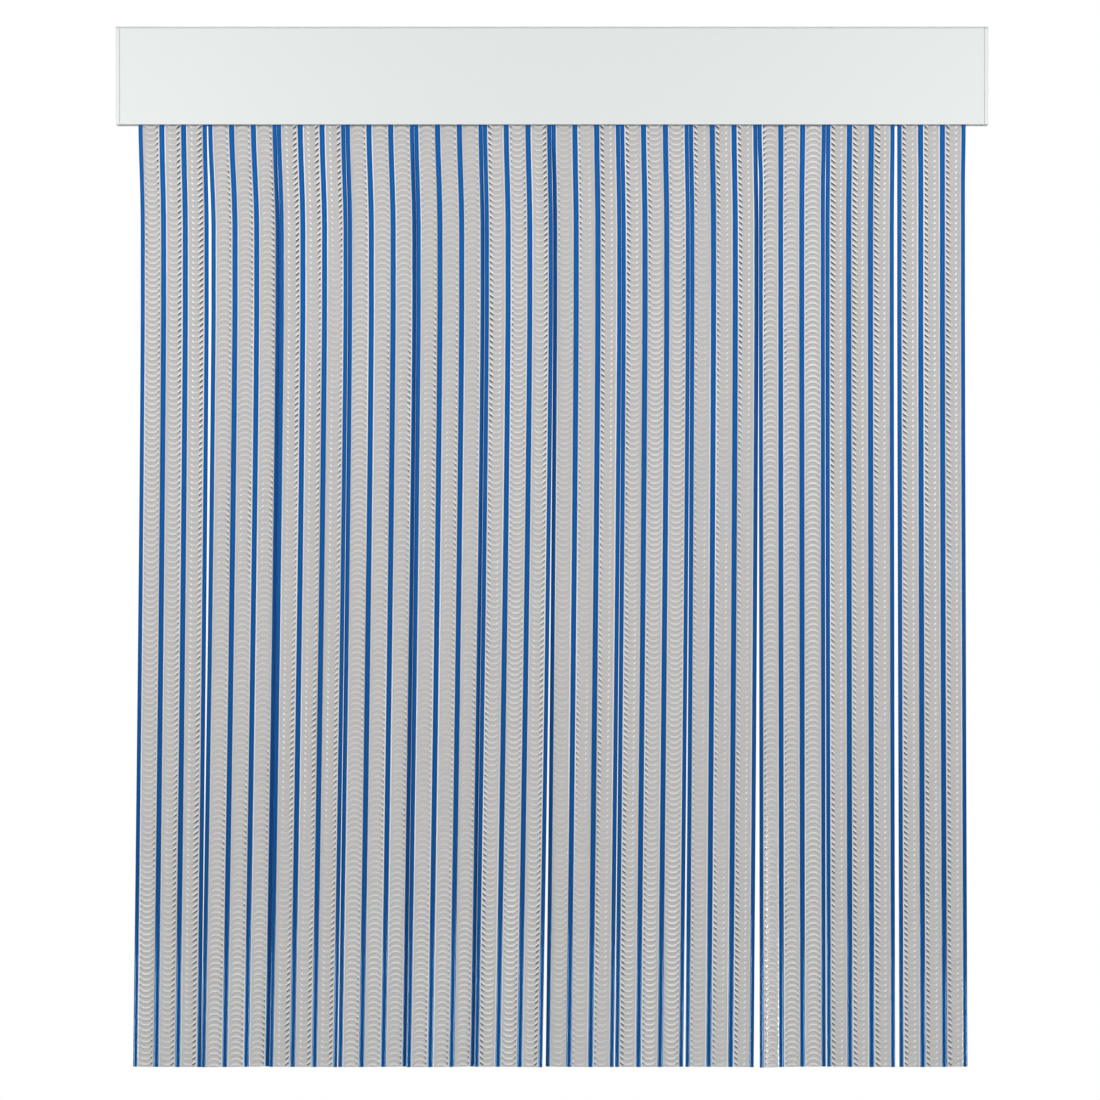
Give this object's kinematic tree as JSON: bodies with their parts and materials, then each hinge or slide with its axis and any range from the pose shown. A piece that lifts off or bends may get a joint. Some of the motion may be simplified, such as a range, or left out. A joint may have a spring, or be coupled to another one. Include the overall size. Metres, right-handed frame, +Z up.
{
  "type": "fly curtain",
  "caption": "Fly curtain for a doorway: a slim pelmet header with a steel rod inside, from which wide clear PVC ribbons with blue ribs hang side by side and swing.",
  "frame": {"origin": "middle of the header's back face, in the plane of the wall", "axes": "+X along the header to the right as seen from the room, +Y into the wall, +Z up"},
  "size_m": [0.9, 0.036, 1.074],
  "materials": {
    "white_lacquer": "satin white lacquer on aluminium",
    "white_plastic": "fine moulded satin",
    "rod_steel": "drawn bright",
    "zinc_steel": "zinc plated",
    "hanger_nylon": "moulded",
    "clear_pvc": "clear embossed PVC",
    "blue_pvc": "glossy solid blue PVC"
  },
  "bodies": {
    "header": {"header_profile": "white_lacquer", "end_cap_left": "white_plastic", "end_cap_right": "white_plastic", "hanging_rod": "rod_steel", "rod_hanger_1": "hanger_nylon", "rod_hanger_2": "hanger_nylon", "rod_hanger_3": "hanger_nylon", "wall_bracket_left": "zinc_steel", "wall_bracket_right": "zinc_steel", "cap_screw_1": "zinc_steel", "cap_screw_2": "zinc_steel", "cap_screw_3": "zinc_steel", "cap_screw_4": "zinc_steel"},
    "ribbon_01": {"ribbon_01": "clear_pvc"},
    "ribbon_02": {"ribbon_02": "clear_pvc"},
    "ribbon_03": {"ribbon_03": "clear_pvc"},
    "ribbon_04": {"ribbon_04": "clear_pvc"},
    "ribbon_05": {"ribbon_05": "clear_pvc"},
    "ribbon_06": {"ribbon_06": "clear_pvc"},
    "ribbon_07": {"ribbon_07": "clear_pvc"},
    "ribbon_08": {"ribbon_08": "clear_pvc"},
    "ribbon_09": {"ribbon_09": "clear_pvc"},
    "ribbon_10": {"ribbon_10": "clear_pvc"},
    "ribbon_11": {"ribbon_11": "clear_pvc"},
    "ribbon_12": {"ribbon_12": "clear_pvc"}
  },
  "joints": [
    {"name": "ribbon_01_swing", "type": "hinge", "parent": "header", "child": "ribbon_01", "pos_m": [-0.3921, -0.018, -0.0345], "axis": [1, 0, 0], "range_deg": [-34, 34]},
    {"name": "ribbon_02_swing", "type": "hinge", "parent": "header", "child": "ribbon_02", "pos_m": [-0.32004, -0.018, -0.0345], "axis": [1, 0, 0], "range_deg": [-34, 34]},
    {"name": "ribbon_03_swing", "type": "hinge", "parent": "header", "child": "ribbon_03", "pos_m": [-0.24907, -0.018, -0.0345], "axis": [1, 0, 0], "range_deg": [-34, 34]},
    {"name": "ribbon_04_swing", "type": "hinge", "parent": "header", "child": "ribbon_04", "pos_m": [-0.1781, -0.018, -0.0345], "axis": [1, 0, 0], "range_deg": [-34, 34]},
    {"name": "ribbon_05_swing", "type": "hinge", "parent": "header", "child": "ribbon_05", "pos_m": [-0.10713, -0.018, -0.0345], "axis": [1, 0, 0], "range_deg": [-34, 34]},
    {"name": "ribbon_06_swing", "type": "hinge", "parent": "header", "child": "ribbon_06", "pos_m": [-0.03616, -0.018, -0.0345], "axis": [1, 0, 0], "range_deg": [-34, 34]},
    {"name": "ribbon_07_swing", "type": "hinge", "parent": "header", "child": "ribbon_07", "pos_m": [0.03481, -0.018, -0.0345], "axis": [1, 0, 0], "range_deg": [-34, 34]},
    {"name": "ribbon_08_swing", "type": "hinge", "parent": "header", "child": "ribbon_08", "pos_m": [0.10578, -0.018, -0.0345], "axis": [1, 0, 0], "range_deg": [-34, 34]},
    {"name": "ribbon_09_swing", "type": "hinge", "parent": "header", "child": "ribbon_09", "pos_m": [0.17675, -0.018, -0.0345], "axis": [1, 0, 0], "range_deg": [-34, 34]},
    {"name": "ribbon_10_swing", "type": "hinge", "parent": "header", "child": "ribbon_10", "pos_m": [0.24772, -0.018, -0.0345], "axis": [1, 0, 0], "range_deg": [-34, 34]},
    {"name": "ribbon_11_swing", "type": "hinge", "parent": "header", "child": "ribbon_11", "pos_m": [0.31869, -0.018, -0.0345], "axis": [1, 0, 0], "range_deg": [-34, 34]},
    {"name": "ribbon_12_swing", "type": "hinge", "parent": "header", "child": "ribbon_12", "pos_m": [0.3921, -0.018, -0.0345], "axis": [1, 0, 0], "range_deg": [-34, 34]}
  ]
}
